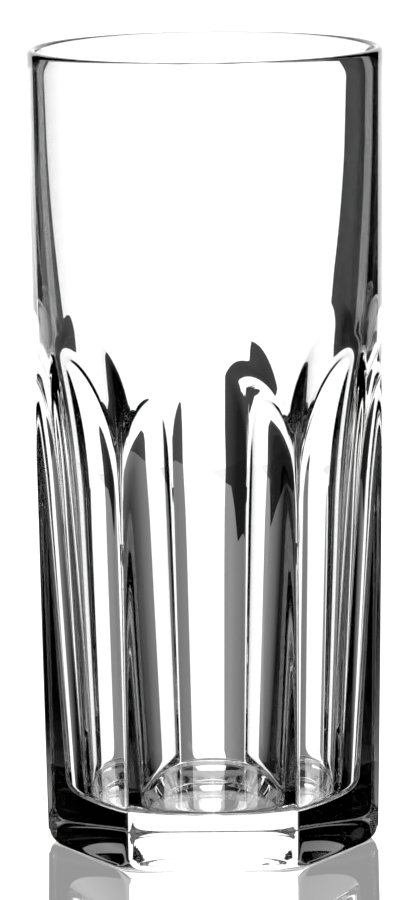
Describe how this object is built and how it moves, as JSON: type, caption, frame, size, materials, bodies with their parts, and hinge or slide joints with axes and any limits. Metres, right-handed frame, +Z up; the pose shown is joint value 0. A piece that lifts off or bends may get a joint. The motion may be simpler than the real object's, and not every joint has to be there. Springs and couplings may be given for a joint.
{
  "type": "highball glass",
  "caption": "Tall heavy highball glass of clear cut crystal, with arched flat panels all round, a thick base and a thin melted lip.",
  "frame": {"origin": "centre of the foot, on the table", "axes": "+Z up the glass's axis towards the lip, -Y out of the middle of one flat panel"},
  "size_m": [0.066, 0.066, 0.15],
  "materials": {
    "cut_crystal": "polished, clear and colourless"
  },
  "bodies": {
    "root": {"tumbler": "cut_crystal"}
  },
  "joints": []
}
